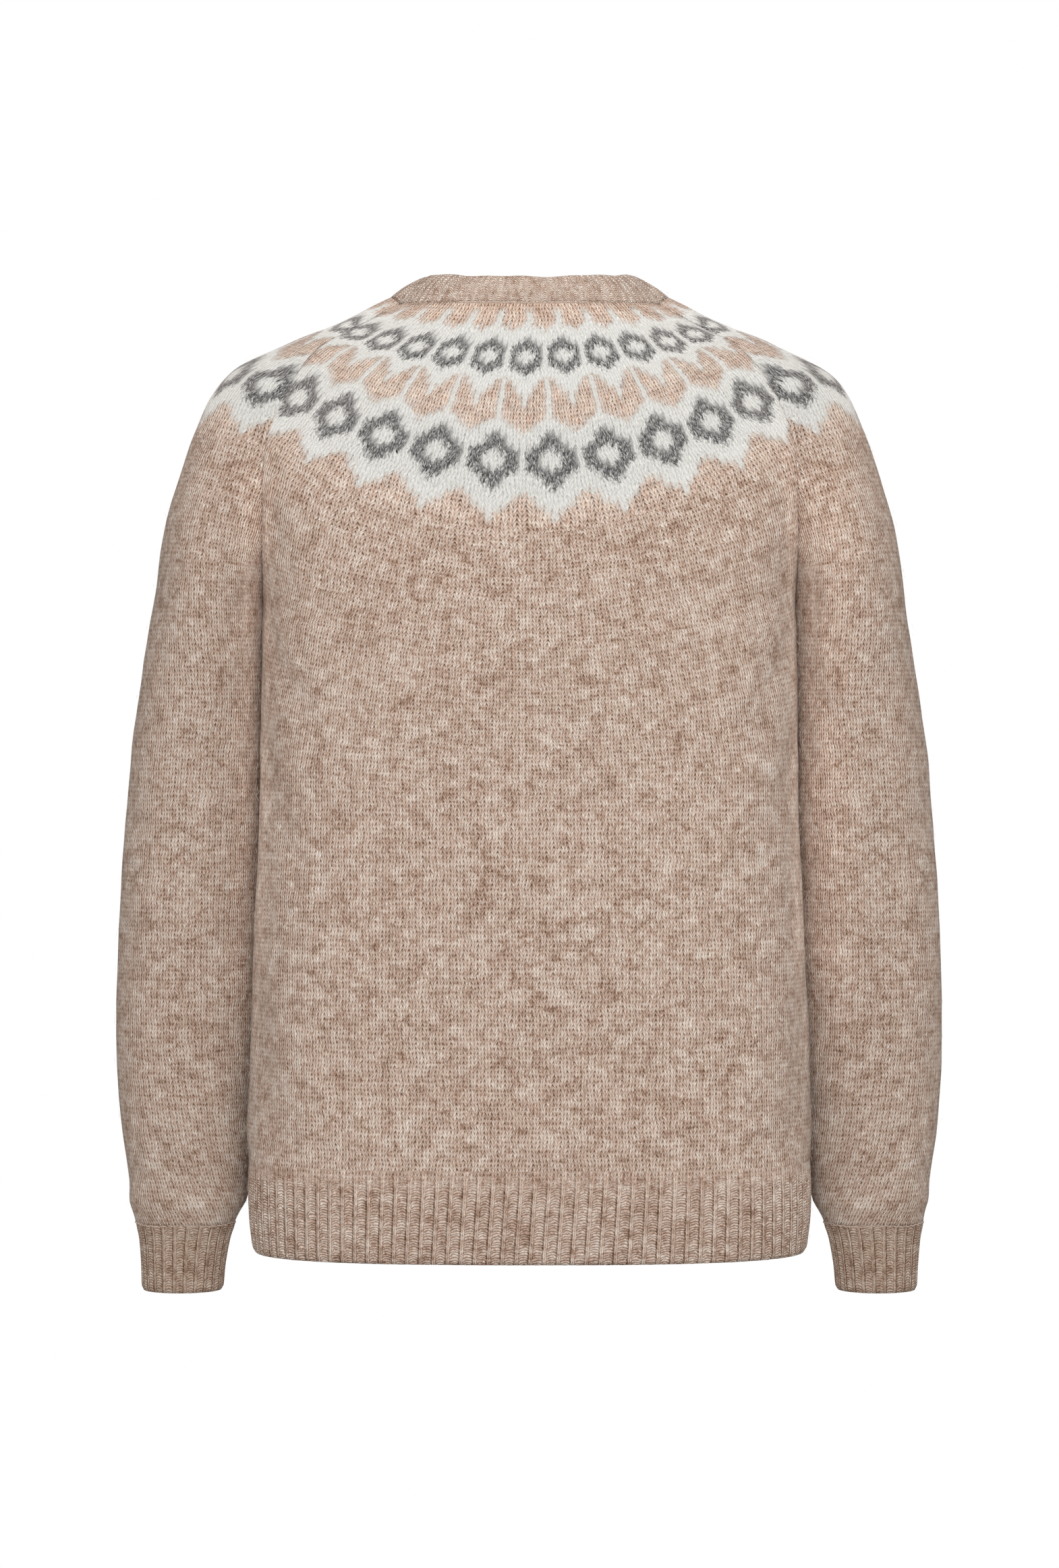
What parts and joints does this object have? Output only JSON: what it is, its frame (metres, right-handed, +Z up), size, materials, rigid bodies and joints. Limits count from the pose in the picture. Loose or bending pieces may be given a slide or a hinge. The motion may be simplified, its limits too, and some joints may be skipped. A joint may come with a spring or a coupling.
{
  "type": "worn knitted cardigan",
  "caption": "Buttoned knitted cardigan in its worn hollow form, with a patterned yoke, long sleeves, ribbed neckband, hem, cuffs and front bands.",
  "frame": {"origin": "middle of the neck opening at the height of the shoulder seams, where the wearer holds the cardigan up", "axes": "+Z up, the wearer faces -Y, +X to the wearer's left"},
  "size_m": [0.5452, 0.2577, 0.665],
  "materials": {
    "melange_knit": "soft brushed knit, beige melange with a patterned yoke in white, grey and light beige",
    "ribbed_knit": "soft brushed rib, beige melange",
    "button": "satin, four holes"
  },
  "bodies": {
    "root": {"back": "melange_knit", "left_front": "melange_knit", "right_front": "melange_knit", "left_sleeve": "melange_knit", "right_sleeve": "melange_knit", "left_cuff": "ribbed_knit", "right_cuff": "ribbed_knit", "neckband": "ribbed_knit", "button_band": "ribbed_knit", "buttonhole_band": "ribbed_knit", "button_1": "button", "button_2": "button", "button_3": "button", "button_4": "button", "button_5": "button", "button_6": "button", "button_7": "button", "button_8": "button"}
  },
  "joints": []
}
